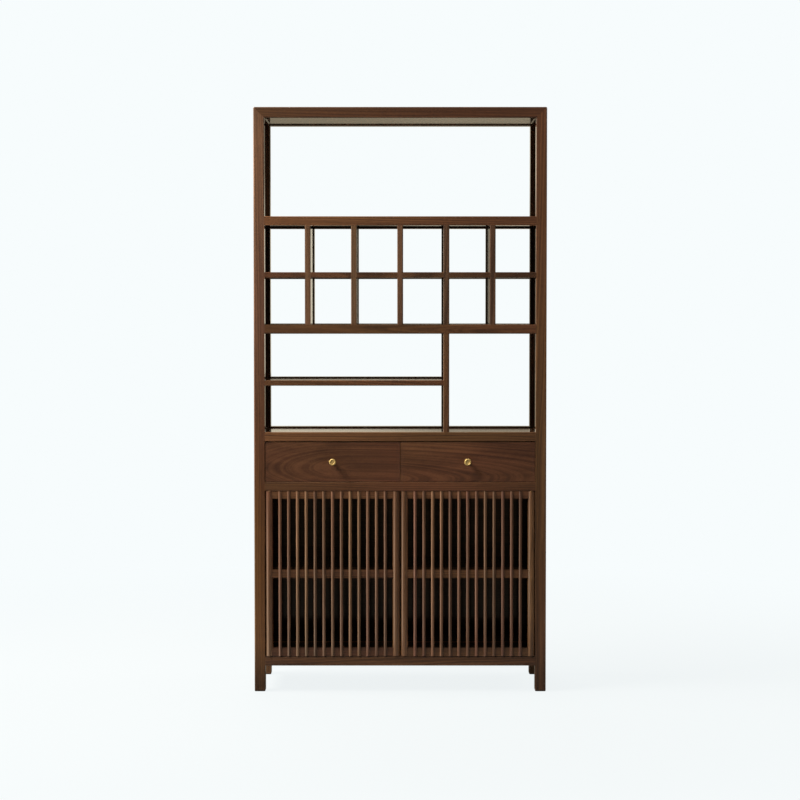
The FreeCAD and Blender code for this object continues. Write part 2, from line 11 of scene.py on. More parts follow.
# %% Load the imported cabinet
import bpy
import bmesh
import math
from mathutils import Euler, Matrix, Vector


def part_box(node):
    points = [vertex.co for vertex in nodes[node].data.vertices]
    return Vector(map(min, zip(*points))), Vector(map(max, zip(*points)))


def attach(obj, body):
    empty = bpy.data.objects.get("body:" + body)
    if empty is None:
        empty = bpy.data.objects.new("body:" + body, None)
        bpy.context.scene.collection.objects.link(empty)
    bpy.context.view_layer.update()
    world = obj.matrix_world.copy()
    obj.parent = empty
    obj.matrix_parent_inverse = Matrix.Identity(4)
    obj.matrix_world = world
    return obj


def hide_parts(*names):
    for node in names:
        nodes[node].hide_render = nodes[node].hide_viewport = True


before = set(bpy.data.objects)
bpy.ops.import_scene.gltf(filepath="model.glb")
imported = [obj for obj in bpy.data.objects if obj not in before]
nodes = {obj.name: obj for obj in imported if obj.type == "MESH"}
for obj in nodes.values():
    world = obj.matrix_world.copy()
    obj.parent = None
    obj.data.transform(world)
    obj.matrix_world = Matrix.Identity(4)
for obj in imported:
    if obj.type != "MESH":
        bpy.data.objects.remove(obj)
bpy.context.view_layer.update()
scene = bpy.context.scene

# %% [markdown]
# ## The camera
# The photograph was taken from straight ahead with a long lens. Its eye height shows in the
# boards: their upper faces are seen below it and their undersides above it, and they turn edge
# on at about 1.34 m. A level camera with a large shift would keep upright lines exactly
# upright. A small tilt with a small shift gives nearly the same lines and leaves other views
# well framed, so that is used here.

# %% Camera
front_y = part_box("front_left_post")[0].y
eye_aside = -0.0007
eye_distance = 6.82
eye_height = 1.339
tilt_down = 2.136

lens = bpy.data.cameras.new("photo_lens")
lens.lens = 89.92
lens.sensor_width = 36.0
lens.shift_y = -0.03
lens.clip_end = 200.0
camera = bpy.data.objects.new("photo_camera", lens)
camera.location = (eye_aside, front_y - eye_distance, eye_height)
camera.rotation_euler = (math.radians(90.0 - tilt_down), 0.0, 0.0)
scene.collection.objects.link(camera)
scene.camera = camera
print("camera at", tuple(round(v, 3) for v in camera.location), "with a lens of", lens.lens, "mm")

# %% [markdown]
# ## How colours are shown
# Blender's usual view rolls bright colours off as film does, which turns white grey. The plain
# view shows each colour as it is written, so that a white backdrop stays white.

# %% The plain view
scene.view_settings.view_transform = "Standard"
print("colours are shown with the", scene.view_settings.view_transform, "view")

# %% [markdown]
# ## Shader nodes in one line
# A material is a small graph of nodes. Adding a node, setting it and joining it takes many
# lines, so one helper does all three: plain values are set, and outputs are linked. A finish
# reads the object's own coordinates. Here every object sits at the origin, so these are the
# places in the cabinet in metres, and they ride along when a drawer or a door moves.

# %% Helpers for shader nodes
def add(tree, kind, inputs=None, **settings):
    """Adds a shader node. Inputs are named or numbered, and take a value or another node's output."""
    made = tree.nodes.new("ShaderNode" + kind)
    for name, value in settings.items():
        setattr(made, name, value)
    for name, value in (inputs or {}).items():
        if isinstance(value, bpy.types.NodeSocket):
            tree.links.new(value, made.inputs[name])
        else:
            made.inputs[name].default_value = value
    return made


def fresh_tree(owner):
    """The empty node graph of a material or of the world."""
    owner.use_nodes = True
    owner.node_tree.nodes.clear()
    return owner.node_tree


def own_place(tree):
    """Where a point of the surface is, in the object's own coordinates."""
    return add(tree, "TexCoord").outputs["Object"]


print("helpers ready:", [helper.__name__ for helper in (add, fresh_tree, own_place)])

# %% [markdown]
# ## Steps that every finish repeats
# Most of a finish is sums: a noise gives a number, a range of that number becomes a share from
# 0 to 1, and the share blends two colours. A straight range suits grain, and an eased one, which
# starts and ends softly, suits the edge of a light or a shadow.

# %% Helpers for sums, ranges and blends
def calculate(tree, operation, first, second=0.0, third=0.0, clamp=False):
    """One step of arithmetic with numbers."""
    made = add(tree, "Math", {0: first, 1: second, 2: third}, operation=operation, use_clamp=clamp)
    return made.outputs[0]


def place_step(tree, operation, first, second=(0.0, 0.0, 0.0)):
    """One step of arithmetic with places, which gives a place, or a number for a length."""
    made = add(tree, "VectorMath", {0: first, 1: second}, operation=operation)
    return made.outputs["Value" if operation in ("LENGTH", "DOT_PRODUCT") else "Vector"]


def ranged(tree, value, start, end, at_start=0.0, at_end=1.0):
    """A number that goes straight from one value to another while the first goes from start to end."""
    made = add(tree, "MapRange", {0: value, 1: start, 2: end, 3: at_start, 4: at_end})
    return made.outputs[0]


def eased(tree, value, start, end):
    """A share that goes softly from 0 to 1 while the value goes from start to end."""
    made = add(tree, "MapRange", {0: value, 1: start, 2: end}, interpolation_type="SMOOTHSTEP")
    return made.outputs[0]


def blended(tree, share, first, second):
    """Two colours blended by a share from 0 to 1."""
    return add(tree, "Mix", {0: share, 6: first, 7: second}, data_type="RGBA").outputs[2]


def ray_kinds(tree):
    """1 for a ray from the camera, and 1 for a ray that a shiny or clear surface sent on."""
    path = add(tree, "LightPath").outputs
    mirror_ray = calculate(tree, "MAXIMUM", path["Is Glossy Ray"], path["Is Transmission Ray"])
    return path["Is Camera Ray"], mirror_ray


steps = (calculate, place_step, ranged, eased, blended, ray_kinds)
print("steps ready:", [step.__name__ for step in steps])

# %% [markdown]
# ## Backdrop
# The photograph has a plain, slightly cool white behind the cabinet. Turning the lamps up until
# a grey wall is white would also bleach the wood. So each ray is asked what sent it. A ray from
# the camera sees the white. A ray that shiny wood sends on sees a room: a dim one in front of
# the cabinet, behind it a wall that is lit at the upper left and the lower right, and a window
# far out to the left. Any other ray brings a weak, even light into the shadows.
# The mirrored room gives lacquered wood its look. Boards seen nearly edge on mirror the wall
# and turn pale, while the front faces mirror the dim room and keep their deep brown.

# %% Backdrop and mirrored room
backdrop_white = (0.930, 0.973, 0.982, 1.0)
even_light = (0.062, 0.059, 0.055, 1.0)
dim_room = (0.085, 0.064, 0.040, 1.0)
lit_wall = (0.80, 0.71, 0.54, 1.0)
unlit_wall = (0.22, 0.185, 0.130, 1.0)
far_window = (0.60, 0.52, 0.40, 1.0)
window_range = (-0.55, -0.90)
wall_level = 0.05
wall_softness = 0.0012
wall_begins, wall_full = 0.0, 0.6

world = bpy.data.worlds.new("studio_world")
scene.world = world
tree = fresh_tree(world)
direction = add(tree, "TexCoord").outputs["Generated"]
across, toward_wall, upward = add(tree, "SeparateXYZ", {0: direction}).outputs
corner = calculate(tree, "MULTIPLY", across, calculate(tree, "SUBTRACT", wall_level, upward))
wall = blended(tree, eased(tree, corner, -wall_softness, wall_softness), unlit_wall, lit_wall)
room = blended(tree, eased(tree, toward_wall, wall_begins, wall_full), dim_room, wall)
room = blended(tree, eased(tree, across, *window_range), room, far_window)
camera_ray, mirror_ray = ray_kinds(tree)
seen = blended(tree, mirror_ray, even_light, room)
seen = blended(tree, camera_ray, seen, backdrop_white)
sky = add(tree, "Background", {"Color": seen, "Strength": 1.0})
add(tree, "OutputWorld", {"Surface": sky.outputs[0]})
print("backdrop", backdrop_white[:3], "for the camera, and even light", even_light[:3])

# %% [markdown]
# ## Floor
# A studio floor sweeps into the wall without an edge. A flat disc, wide enough to reach behind
# everything the camera sees, does the same once it has the backdrop's own white.

# %% Floor disc
floor_radius = 30.0
floor_sides = 96
shape = bmesh.new()
bmesh.ops.create_circle(shape, cap_ends=True, radius=floor_radius, segments=floor_sides)
mesh = bpy.data.meshes.new("studio_floor")
shape.to_mesh(mesh)
shape.free()
floor = bpy.data.objects.new("studio_floor", mesh)
scene.collection.objects.link(floor)
print("floor of", len(mesh.polygons), "face,", floor.dimensions.x, "m across")

# %% [markdown]
# ## What shiny wood sees of the floor
# Undersides of boards, and all upright faces below the camera's height, mirror the floor and
# not the room. In front it is dim, towards the wall it is lit, and to the left lies the glow of
# a window. The glow keeps clear of the feet, which it would make hazy, and fades out over the
# far floor, so that it bleaches less of the front when that is seen from the side. It isn't a
# full cure: from far round on the right the drawer fronts still mirror the glow and look cream.
# It goes by the bearing from the middle of the front, so that all the slats catch it on the
# same side.

# %% Mirrored floor
lit_floor = (0.31, 0.262, 0.180, 1.0)
window_glow = (1.55, 1.33, 1.00, 1.0)
front_depth = (0.0, 0.17, 0.0)
lit_from, lit_full = 0.1, 3.0
glow_begins, glow_full = 0.85, 1.25
glow_ends, glow_fades = 8.0, 5.0

floor_paint = bpy.data.materials.new("floor_paint")
tree = fresh_tree(floor_paint)
place = own_place(tree)
distance = place_step(tree, "LENGTH", place)
toward_wall = add(tree, "SeparateXYZ", {0: place}).outputs["Y"]
mirrored_floor = blended(tree, eased(tree, toward_wall, lit_from, lit_full), dim_room, lit_floor)
bearing = place_step(tree, "NORMALIZE", place_step(tree, "ADD", place, front_depth))
sideways = add(tree, "SeparateXYZ", {0: bearing}).outputs["X"]
clear_of_feet = eased(tree, distance, glow_begins, glow_full)
not_too_far = eased(tree, distance, glow_ends, glow_fades)
glow_share = calculate(tree, "MULTIPLY", clear_of_feet, not_too_far)
glow_share = calculate(tree, "MULTIPLY", eased(tree, sideways, *window_range), glow_share)
mirrored_floor = blended(tree, glow_share, mirrored_floor, window_glow)
print("the glow lies from", glow_begins, "to", glow_ends, "m from the middle")

# %% [markdown]
# ## Floor paint
# An emission gives the camera the backdrop's white, whatever the lamps do. If it covered the
# whole floor the cabinet would float, so near the cabinet a tenth of the paint is matt and
# takes real light, which is enough for a faint shadow. For rays that light the object the
# emission is off, and the floor is a plain grey.

# %% Floor paint
matt_grey = (0.32, 0.32, 0.31, 1.0)
white_near = 0.90
sweep_begins, sweep_ends = 0.9, 3.2

camera_ray, mirror_ray = ray_kinds(tree)
floor_colour = blended(tree, mirror_ray, backdrop_white, mirrored_floor)
white = add(tree, "Emission", {"Color": floor_colour, "Strength": 1.0})
matt = add(tree, "BsdfDiffuse", {"Color": matt_grey})
sweep = eased(tree, distance, sweep_begins, sweep_ends)
white_share = ranged(tree, sweep, 0.0, 1.0, white_near, 1.0)
looked_at = calculate(tree, "MAXIMUM", camera_ray, mirror_ray)
white_share = calculate(tree, "MULTIPLY", white_share, looked_at)
surface = add(tree, "MixShader", {0: white_share, 1: matt.outputs[0], 2: white.outputs[0]})
add(tree, "OutputMaterial", {"Surface": surface.outputs[0]})
floor.data.materials.append(floor_paint)
print("near the cabinet", round(1.0 - white_near, 2), "of the floor takes real light")

# %% [markdown]
# ## Lamps
# The light in the photograph comes from high on the left: the rounded left edges of the slats
# are light, while the rear rails inside the bays, which a steep light can't reach, are nearly
# black. One large soft lamp does that. Three weak ones keep the front, the back and the right
# flank readable. The one behind is hidden from shiny surfaces, because the top would mirror it
# as a white haze when it is seen from above.

# %% Lamps
lamp_aim = Vector((0.0, 0.0, 1.15))


def soft_lamp(name, azimuth, elevation, reach, size, power, colour):
    """A broad area lamp. Its azimuth is counted from the front, to the left below zero."""
    lamp = bpy.data.lights.new(name, "AREA")
    lamp.shape = "RECTANGLE"
    lamp.size, lamp.size_y = size
    lamp.energy = power
    lamp.color = colour
    side, height = math.radians(azimuth), math.radians(elevation)
    level = math.cos(height)
    toward = Vector((math.sin(side) * level, -math.cos(side) * level, math.sin(height)))
    made = bpy.data.objects.new(name, lamp)
    made.location = lamp_aim + toward * reach
    made.rotation_euler = toward.to_track_quat("Z", "Y").to_euler()
    scene.collection.objects.link(made)
    return made


key = soft_lamp("key_lamp", -77.0, 42.0, 4.6, (2.8, 1.8), 800.0, (1.0, 0.955, 0.90))
front_fill = soft_lamp("right_fill", 50.0, 25.0, 5.0, (2.2, 2.6), 25.0, (1.0, 0.96, 0.92))
rear_fill = soft_lamp("rear_fill", -165.0, 48.0, 4.5, (2.4, 1.6), 170.0, (0.98, 0.99, 1.0))
flank_fill = soft_lamp("right_flank_fill", 104.0, 32.0, 5.0, (2.4, 2.4), 150.0, (0.99, 0.985, 0.98))
rear_fill.visible_glossy = False
print("lamps:", [(lamp.name, lamp.data.energy) for lamp in (key, front_fill, rear_fill, flank_fill)])

# %% [markdown]
# ## The colours of walnut
# Walnut is a warm brown. The wood that grows in spring is light, the wood of late summer is
# dark, and the open pores are nearly black. Three browns and a pore colour are enough, because
# noise will blend them in all shares. A fifth colour is the paler wood that shows where an edge
# is worn. All are written as linear light, so they look darker as numbers than they do shown.

# %% Walnut colours
light_wood = (0.140, 0.0585, 0.0225, 1.0)
middle_wood = (0.093, 0.0370, 0.0140, 1.0)
dark_wood = (0.044, 0.0170, 0.0068, 1.0)
pore_wood = (0.020, 0.0085, 0.0042, 1.0)
worn_wood = (0.205, 0.108, 0.060, 1.0)
print("walnut runs from", light_wood[:3], "to", dark_wood[:3])

# %% [markdown]
# ## A place in the trunk
# Where a board is cut along the trunk, the rings show as long lines, and where it cuts across
# the cone of the trunk they show as nested arches. Painting such a picture on each face would
# break at the edges. Here the trunk itself is imagined, as rings round a line, the pith, and
# each board is a cut through it, so that ends, edges and faces agree. A Mapping node turns the
# cabinet until the board's grain stands upright, leans it a little, and puts the pith at zero.

# %% Place in the trunk
grain_turns = {
    "X": Euler((0.0, math.radians(-90.0), 0.0)),
    "Y": Euler((math.radians(90.0), 0.0, 0.0)),
    "Z": Euler((0.0, 0.0, 0.0)),
}


def trunk_place(tree, grain, pith, tilt):
    """The place in a trunk whose pith runs along Z and passes the point given in the cabinet."""
    lean = Euler((tilt[0], tilt[1], 0.0)).to_matrix()
    turn = lean @ grain_turns[grain].to_matrix()
    shift = -(turn @ Vector(pith))
    settings = {"Vector": own_place(tree), "Location": shift, "Rotation": turn.to_euler()}
    return add(tree, "Mapping", settings).outputs[0]


print("grain can run along", list(grain_turns))

# %% [markdown]
# ## Lines along the grain
# Everything in wood is long in one direction: fibres, pores and bands of colour. Noise becomes
# wood-like once it is drawn out, with many waves per metre across the grain and few along it.
# Each kind of line below is four numbers: the waves across, the waves along, and the detail and
# roughness of the noise. No tree is straight either. Pushing each place aside by a slow noise
# before it is used makes rings and fibres wander together.

# %% Noise drawn out along the grain
wander_lines = (5.0, 0.9, 2.0, 0.55)
ripple_lines = (45.0, 3.0, 2.0, 0.55)
band_lines = (26.0, 0.8, 3.0, 0.60)
fibre_lines = (620.0, 7.0, 3.0, 0.60)
pore_lines = (1900.0, 55.0, 1.0, 0.50)
hue_lines = (3.5, 0.7, 2.0, 0.55)
wear_lines = (60.0, 14.0, 2.0, 0.55)
half = (0.5, 0.5, 0.5)


def grain_noise(tree, place, lines):
    """Noise drawn out along the grain, for one kind of line."""
    across, along, detail, roughness = lines
    drawn = place_step(tree, "MULTIPLY", place, (across, across, along))
    settings = {"Vector": drawn, "Scale": 1.0, "Detail": detail, "Roughness": roughness}
    return add(tree, "TexNoise", settings).outputs


def bent(tree, place, lines, amount):
    """The same place, pushed aside by a slow noise, so that rings and fibres wander."""
    push = place_step(tree, "SUBTRACT", grain_noise(tree, place, lines)["Color"], half)
    push = place_step(tree, "MULTIPLY", push, (amount, amount, 0.0))
    return place_step(tree, "ADD", place, push)


print("fibres:", fibre_lines[0], "waves per metre across the grain and", fibre_lines[1], "along it")

# %% [markdown]
# ## Growth rings and arches
# A tree grows fast in some years and slowly in others, so evenly spaced rings look like a
# machine's work. A noise with one dimension, read at the distance from the pith, gives years
# that are wide or narrow at random and yet close round the pith.
# A flat-sawn front shows arches, where its face leaves the rings. Bending the place past a
# turning point does that: from there on the board lies deeper and deeper in the trunk.

# %% Growth rings and arches
usual_ring = 0.0030
ring_range = (0.36, 0.66)
ring_detail, ring_roughness = 3.0, 0.62
arch_softness = 0.12


def growth_rings(tree, place, ring):
    """Light and dark by the distance from the pith, for years of about the width given."""
    flat = place_step(tree, "MULTIPLY", place, (1.0, 1.0, 0.0))
    year = calculate(tree, "DIVIDE", place_step(tree, "LENGTH", flat), ring)
    settings = {"W": year, "Scale": 1.0, "Detail": ring_detail, "Roughness": ring_roughness}
    years = add(tree, "TexNoise", settings, noise_dimensions="1D").outputs["Fac"]
    return eased(tree, years, *ring_range)


def arched(tree, place, side, turn_at, slope, lean):
    """The same place on a board that leaves the pith past a turning point on one side."""
    across, deep, along = add(tree, "SeparateXYZ", {0: place}).outputs
    past = calculate(tree, "MULTIPLY", calculate(tree, "SUBTRACT", along, turn_at), side)
    past = calculate(tree, "SMOOTH_MAX", past, 0.0, arch_softness)
    deeper = calculate(tree, "MULTIPLY_ADD", past, slope, deep)
    aside = calculate(tree, "MULTIPLY_ADD", past, lean, across)
    return add(tree, "CombineXYZ", {0: aside, 1: deeper, 2: along}).outputs[0]


print("years are", usual_ring * 1000, "mm wide unless a board says otherwise")

# %% [markdown]
# ## From noise to colour
# Three layers make the shade: the rings, broad bands of darker heartwood, and the fibres. The
# rings and the bands share one sum, so a board with stronger figure has weaker bands. The shade
# then picks the colour, first from light to middle and then on to dark, which gives more browns
# than one blend would. The pores, which are short dark dashes, are laid over that.

# %% Shade and colour of the wood
usual_figure = 0.40
rings_and_bands = 0.84
fibre_weight = 0.24
pore_weight = 0.55
wander, ripple = 0.030, 0.0022
band_range = (0.32, 0.70)
fibre_range = (0.30, 0.72)
pore_range = (0.60, 0.72)
light_to_middle = (0.18, 0.52)
middle_to_dark = (0.50, 0.92)


def wood_shade(tree, place, ring, figure):
    """How dark the wood is, and the fibres and pores that show in its gloss as well."""
    wandering = bent(tree, place, wander_lines, wander)
    rippled = bent(tree, wandering, ripple_lines, ripple)
    rings = growth_rings(tree, rippled, ring)
    bands = ranged(tree, grain_noise(tree, wandering, band_lines)["Fac"], *band_range)
    fibres = ranged(tree, grain_noise(tree, rippled, fibre_lines)["Fac"], *fibre_range)
    pores = ranged(tree, grain_noise(tree, place, pore_lines)["Fac"], *pore_range)
    shade = calculate(tree, "MULTIPLY", bands, rings_and_bands - figure)
    shade = calculate(tree, "MULTIPLY_ADD", rings, figure, shade)
    shade = calculate(tree, "MULTIPLY_ADD", fibres, fibre_weight, shade, clamp=True)
    return shade, fibres, pores


def wood_colour(tree, shade, pores):
    """Wood that darkens with its shade, with dark pores in it."""
    colour = blended(tree, ranged(tree, shade, *light_to_middle), light_wood, middle_wood)
    colour = blended(tree, ranged(tree, shade, *middle_to_dark), colour, dark_wood)
    return blended(tree, calculate(tree, "MULTIPLY", pores, pore_weight), colour, pore_wood)


print("fibres weigh", fibre_weight, "and pores", pore_weight, "in the colour")

# %% [markdown]
# ## Worn edges
# Hands and cloths rub the lacquer thin along the edges, and the paler wood shows in patches.
# The Bevel node looks at a small neighbourhood and rounds the direction that the surface faces.
# Where that differs from the plain direction there is an edge. The node only finds the edges
# here: their real roundings are in the model.

# %% Worn edges
wear_width = 0.0016
wear_strength = 0.45
edge_range = (0.985, 0.86)
patch_range = (0.38, 0.68)


def worn_edges(tree, place):
    """A share from 0 to 1 that is high along sharp edges, broken up by a noise."""
    rounded = add(tree, "Bevel", {"Radius": wear_width}, samples=3).outputs[0]
    plain = add(tree, "NewGeometry").outputs["Normal"]
    alike = place_step(tree, "DOT_PRODUCT", rounded, plain)
    edge = ranged(tree, alike, *edge_range)
    patches = ranged(tree, grain_noise(tree, place, wear_lines)["Fac"], *patch_range)
    return calculate(tree, "MULTIPLY", edge, patches)


print("wear reaches", wear_width * 1000, "mm from an edge")

# %% [markdown]
# ## Each slat from another stick
# The slats of a door are one piece here, but a maker cuts them from different sticks. Dividing
# the way across the door by the step from slat to slat, and dropping the fraction, numbers the
# slats. White noise turns a number into a chance that is the same all over that slat. It moves
# the slat to another part of the trunk and gives it a tone and a hue of its own.

# %% Chance for each slat
slat_jump = (0.3, 0.3, 4.0)
slat_contrast = 0.22
slat_hues = (-0.008, 0.010)


def slat_by_slat(tree, place, first, step, tone):
    """Another place in the trunk, another tone and another hue for each slat."""
    x = add(tree, "SeparateXYZ", {0: own_place(tree)}).outputs["X"]
    number = calculate(tree, "DIVIDE", calculate(tree, "SUBTRACT", x, first), step)
    number = calculate(tree, "FLOOR", number)
    chance = add(tree, "TexWhiteNoise", {"W": number}, noise_dimensions="1D").outputs
    jump = place_step(tree, "MULTIPLY", chance["Color"], slat_jump)
    moved = place_step(tree, "ADD", place, jump)
    darkest, lightest = (1.0 - slat_contrast) * tone, (1.0 + slat_contrast) * tone
    own_tone = ranged(tree, chance["Value"], 0.0, 1.0, darkest, lightest)
    own_hue = ranged(tree, chance["Color"], 0.0, 1.0, *slat_hues)
    return moved, own_tone, own_hue


print("slats differ in tone by up to", slat_contrast, "either way")

# %% [markdown]
# ## Lacquer
# Satin lacquer is a clear film over the wood. The Principled shader has a coat for that, with
# its own roughness over the wood's. The fibres and pores roughen the gloss below the film and
# make a very low relief, in which pores are the deepest. How much the film mirrors is its IOR,
# which is set by hand on the socket because it is the same all over a piece.

# %% Lacquer
wood_gloss, fibre_gloss, pore_gloss = 0.42, 0.10, 0.18
fibre_relief, pore_relief = -0.25, -1.0
relief_depth, relief_strength = 0.00012, 0.35
wood_mirror = 0.25
coat_roughness = 0.09


def lacquered(tree, colour, fibres, pores, polish):
    """The surface of lacquered wood, joined to the material's output."""
    gloss = calculate(tree, "MULTIPLY_ADD", fibres, fibre_gloss, wood_gloss)
    gloss = calculate(tree, "MULTIPLY_ADD", pores, pore_gloss, gloss)
    relief = calculate(tree, "MULTIPLY", fibres, fibre_relief)
    relief = calculate(tree, "MULTIPLY_ADD", pores, pore_relief, relief)
    bump = {"Strength": relief_strength, "Distance": relief_depth, "Height": relief}
    bump = add(tree, "Bump", bump).outputs[0]
    surface = add(tree, "BsdfPrincipled", {
        "Base Color": colour, "Roughness": gloss, "Normal": bump, "Specular IOR Level": wood_mirror,
        "Coat Weight": 1.0, "Coat Roughness": coat_roughness, "Coat IOR": polish,
    })
    add(tree, "OutputMaterial", {"Surface": surface.outputs[0]})


print("coat roughness", coat_roughness, "over wood of roughness", wood_gloss)

# %% [markdown]
# ## The whole walnut finish
# All steps come together in one function. Each board gets a few facts: where it was cut, how
# light, how red and how strong in colour it is, and how its tone changes along its length.
# Those changes along a board are painted light and shade: ends near the floor or inside a
# corner, and parts away from the lamp, are painted darker, and parts nearer it lighter. Each
# such change is one line: an axis, two places, and the factor at each. Tones and these changes
# were set by measure to match the photograph. So part of its light and shade is painted into
# the wood, and stays there under any other light.

# %% Walnut finish
hue_range = (0.3, 0.7)
hue_lowest, hue_highest = 0.489, 0.511
usual_polish = 1.5


def faded(tree, axis, start, end, at_start, at_end):
    """A factor that changes between two places along X, Y or Z in the cabinet."""
    along = add(tree, "SeparateXYZ", {0: own_place(tree)}).outputs[axis]
    return ranged(tree, along, start, end, at_start, at_end)


def walnut(name, grain, pith, tilt, tone, warmth, rich=1.0, painted_shading=(), ring=usual_ring,
           figure=usual_figure, arches=None, slats=None, polish=usual_polish):
    """A walnut finish for one piece, with its own cut from the trunk and its own tone."""
    finish = bpy.data.materials.new(name)
    tree = fresh_tree(finish)
    place = trunk_place(tree, grain, pith, tilt)
    if arches:
        place = arched(tree, place, *arches)
    if slats:
        place, tone, own_hue = slat_by_slat(tree, place, *slats, tone)
    shade, fibres, pores = wood_shade(tree, place, ring, figure)
    colour = wood_colour(tree, shade, pores)

    hue_noise = grain_noise(tree, place, hue_lines)["Fac"]
    hue = ranged(tree, hue_noise, *hue_range, hue_lowest + warmth, hue_highest + warmth)
    if slats:
        hue = calculate(tree, "ADD", hue, own_hue)
    # Painted light and shade: each ramp here scales the board's tone along one axis of the cabinet.
    for shading_ramp in painted_shading:
        tone = calculate(tree, "MULTIPLY", faded(tree, *shading_ramp), tone)
    if isinstance(rich, tuple):
        rich = faded(tree, *rich)
    tints = {"Hue": hue, "Saturation": rich, "Value": tone, "Color": colour}
    colour = add(tree, "HueSaturation", tints).outputs[0]

    worn = calculate(tree, "MULTIPLY", worn_edges(tree, place), wear_strength)
    colour = blended(tree, worn, colour, worn_wood)
    lacquered(tree, colour, fibres, pores, polish)
    return finish


print("a hue of 0.5 changes nothing; the wood's runs from", hue_lowest, "to", hue_highest)

# %% [markdown]
# ## Which way each board's grain runs
# A maker runs the grain along every stick, and along the longer way of every panel: upright in
# posts, stiles, slats and dividers, front to back in the side rails and drawer boxes, and from
# side to side in the rest. The model already says which pieces are walnut, pale drawer wood,
# brass, steel or plastic.

# %% Grain and finish of each piece
upright = ("_post", "_stile", "_slats", "side_panels", "lower_divider")
front_to_back = ("side_rails", "shelf_bearers", "drawer_runners", "drawer_box")


def grain_of(name):
    """The axis that a piece's grain follows."""
    if name.endswith(upright) or name.startswith("grid_divider"):
        return "Z"
    if name.endswith(front_to_back):
        return "Y"
    return "X"


def dress(name, finish):
    """Puts a finish on a piece that was loaded."""
    materials = nodes[name].data.materials
    materials.clear()
    materials.append(finish)


finish_of = {name: piece.data.materials[0].name.split(".")[0] for name, piece in nodes.items()}
walnut_names = sorted(name for name in nodes if finish_of[name] in ("walnut_frame", "walnut_panel"))
for finish in sorted(set(finish_of.values())):
    print(finish, "on", list(finish_of.values()).count(finish), "pieces")

# %% [markdown]
# ## The drawer fronts
# The two drawer fronts are the boards that one looks at, and a maker picks them for their
# figure. So their cut is given one by one: the pith lies close to the face, the years are wide,
# and the arches close towards the left on the left front and towards the right on the right one.

# %% Drawer fronts
# The tone ramps on both fronts are painted light and shade: the left front lighter towards the middle, the
# right front darker towards its right end.
looks = {
    "left_drawer_front": dict(
        pith=(0.0, -0.164, 0.769), tilt=(0.0, 0.0), ring=0.0080, figure=0.36, warmth=-0.010,
        arches=(-1.0, -0.190, 0.2545, 0.0), tone=0.88, painted_shading=[("X", -0.45, -0.05, 0.92, 1.05)]),
    "right_drawer_front": dict(
        pith=(0.0, -0.164, 0.738), tilt=(0.0, 0.0), ring=0.0070, figure=0.38, warmth=-0.003,
        arches=(1.0, -0.150, 0.120, -0.010), tone=1.0, painted_shading=[("X", 0.24, 0.46, 1.0, 0.80)]),
}
for name, look in looks.items():
    print(name, "has years of", look["ring"] * 1000, "mm")

# %% [markdown]
# ## The posts and the rails
# Boards of one cabinet come from several trees, and differ more than one expects. The rail of
# the lower shelf is the lightest and the top rail the darkest, partly by the wood's own tone and
# partly by painted light. Most rails are painted darker towards the right, away from the light.
# The left post is painted lighter higher up, nearer the lamp, and darker at its very top, and
# both posts are painted darker near the floor, where less light reaches. The bottom rail has a
# painted shadow of the doors: a dark line along its upper edge.

# %% Posts and rails
left_end, right_end = -0.45, 0.45
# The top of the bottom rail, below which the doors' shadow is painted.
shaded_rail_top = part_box("bottom_front_rail")[1].z
# Painted light and shade: the ramps below make the posts and rails lighter or darker along their length.
looks["front_left_post"] = dict(tone=1.10, rich=("Z", 0.6, 1.3, 1.07, 0.90), painted_shading=[
    ("Z", 0.03, 0.17, 0.42, 1.0), ("Z", 1.1, 1.88, 0.95, 1.28), ("Z", 1.88, 2.0, 1.0, 0.72)])
looks["front_right_post"] = dict(tone=0.98, painted_shading=[("Z", 0.03, 0.17, 0.62, 1.0)])
looks["top_front_rail"] = dict(tone=0.69, painted_shading=[("X", left_end, right_end, 0.90, 1.04)])
looks["upper_shelf_front_rail"] = dict(tone=1.28, painted_shading=[("X", left_end, right_end, 1.08, 0.88)])
looks["middle_shelf_front_rail"] = dict(tone=0.90, painted_shading=[("X", left_end, right_end, 0.84, 1.06)])
looks["lower_shelf_front_rail"] = dict(tone=1.46, painted_shading=[("X", left_end, right_end, 1.18, 0.70)])
looks["drawer_front_rail"] = dict(tone=0.90, painted_shading=[
    ("X", left_end, 0.05, 0.86, 1.20), ("X", 0.15, right_end, 1.0, 0.72)])
# The last ramp of the bottom rail is the painted shadow of the doors along its upper edge.
looks["bottom_front_rail"] = dict(tone=0.90, painted_shading=[
    ("X", left_end, 0.0, 1.0, 1.12), ("X", 0.0, 0.42, 1.0, 0.62),
    ("Z", shaded_rail_top - 0.0040, shaded_rail_top - 0.0010, 1.0, 0.40)])
print("looks given to", len(looks), "pieces so far")

# %% [markdown]
# ## The grid, the inner boards and the doors
# The three dividers on the left are lighter than the two on the right, partly by their own tone
# and partly by painted light that falls off away from the lamp. The grid's shelf is painted
# darker towards the right. Behind the doors all is nearly black in the photograph, so painted
# shade makes the shelf a dark board, and the back panel is painted darker through its thickness
# towards the face inside, while its rear stays plain walnut. The slats and the stiles beside them
# are light sticks, rubbed to a higher polish, so they get a coat that mirrors more; their light
# tone is partly painted light on their rounded sides. Low down, where the floor takes light away,
# rails and slats are painted darker, and the right door's slats darken towards its right edge.

# %% Grid, inner boards and doors
# Painted light: the dividers' tones fall off away from the lamp, on top of their own tone.
divider_tones = (1.12, 1.36, 1.15, 0.74, 0.76)
for number, tone in enumerate(divider_tones, start=1):
    looks["grid_divider_" + str(number)] = dict(tone=tone, rich=0.90)
# Painted shade: the grid's shelf darkens towards the right.
looks["grid_shelf"] = dict(tone=0.86, painted_shading=[("X", left_end, right_end, 1.20, 0.56)])
looks["half_shelf"] = dict(tone=1.0)
# Painted shade: the inner shelf behind the doors is made dark.
looks["inner_shelf"] = dict(tone=0.50)

